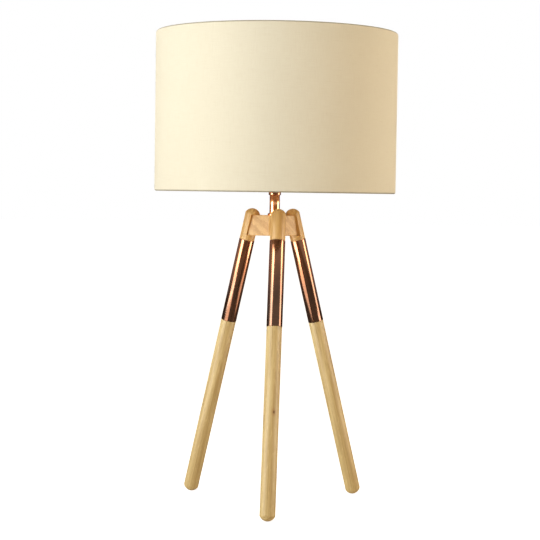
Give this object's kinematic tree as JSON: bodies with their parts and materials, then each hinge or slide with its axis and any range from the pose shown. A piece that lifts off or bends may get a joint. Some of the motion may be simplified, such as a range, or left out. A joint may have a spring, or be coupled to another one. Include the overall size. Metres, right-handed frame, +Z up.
{
  "type": "table lamp",
  "caption": "Tripod table lamp: splayed round wooden legs with copper sleeves on a wooden hub, a copper stem, a switched screw lampholder with bulb, and a fabric drum shade.",
  "frame": {"origin": "on the table surface, on the vertical axis of stem and shade", "axes": "+Z up along the stem, -Y towards the viewer and the front leg, +X to the viewer's right"},
  "size_m": [0.3498, 0.35, 0.6833],
  "materials": {
    "pale_wood": "clear satin lacquer on pale straight-grained wood",
    "aged_copper": "polished dark antique copper",
    "bright_copper": "polished copper",
    "moulded_plastic": "satin moulded plastic",
    "ceramic": "unglazed ceramic",
    "brass": "bright turned brass",
    "frosted_glass": "opal frosted glass",
    "bulb_metal": "plain aluminium",
    "shade_cloth": "fine plain-woven cream cotton",
    "shade_lining": "matt translucent sheet",
    "white_wire": "white coated steel wire"
  },
  "bodies": {
    "stand": {"holder_cap": "moulded_plastic", "holder_insert": "ceramic", "holder_skirt": "moulded_plastic", "hub": "pale_wood", "hub_dowels": "pale_wood", "leg_lower_1": "pale_wood", "leg_lower_2": "pale_wood", "leg_lower_3": "pale_wood", "leg_sleeve_1": "aged_copper", "leg_sleeve_2": "aged_copper", "leg_sleeve_3": "aged_copper", "leg_top_1": "pale_wood", "leg_top_2": "pale_wood", "leg_top_3": "pale_wood", "stem_collar": "bright_copper", "stem_flange": "bright_copper", "stem_tube": "bright_copper", "threaded_tube": "brass", "nut_washer": "brass", "ring_nut": "brass", "cord_bush": "moulded_plastic", "screw_shell": "brass", "centre_contact": "brass", "terminals": "brass", "terminal_screws": "brass"},
    "shade": {"shade_fabric": "shade_cloth", "shade_liner": "shade_lining", "lower_rim_wire": "white_wire", "upper_rim_wire": "white_wire", "shade_fitter": "white_wire", "shade_spokes": "white_wire"},
    "ring": {"retaining_ring": "moulded_plastic"},
    "switch": {"push_bar": "moulded_plastic"},
    "bulb": {"bulb_cap": "bulb_metal", "bulb_glass": "frosted_glass", "bulb_insulator": "ceramic", "bulb_tip": "bulb_metal"}
  },
  "joints": [
    {"name": "shade_swivel", "type": "hinge", "parent": "stand", "child": "shade", "pos_m": [0, 0, 0.482], "axis": [0, 0, 1], "continuous": true},
    {"name": "ring_turn", "type": "hinge", "parent": "stand", "child": "ring", "pos_m": [0, 0, 0.487], "axis": [0, 0, 1], "range_deg": [0, 720]},
    {"name": "bulb_turn", "type": "hinge", "parent": "stand", "child": "bulb", "pos_m": [0, 0, 0.5], "axis": [0, 0, 1], "range_deg": [0, 900]},
    {"name": "switch_slide", "type": "slide", "parent": "stand", "child": "switch", "axis": [1, 0, 0], "range_m": [0, 0.006]}
  ]
}
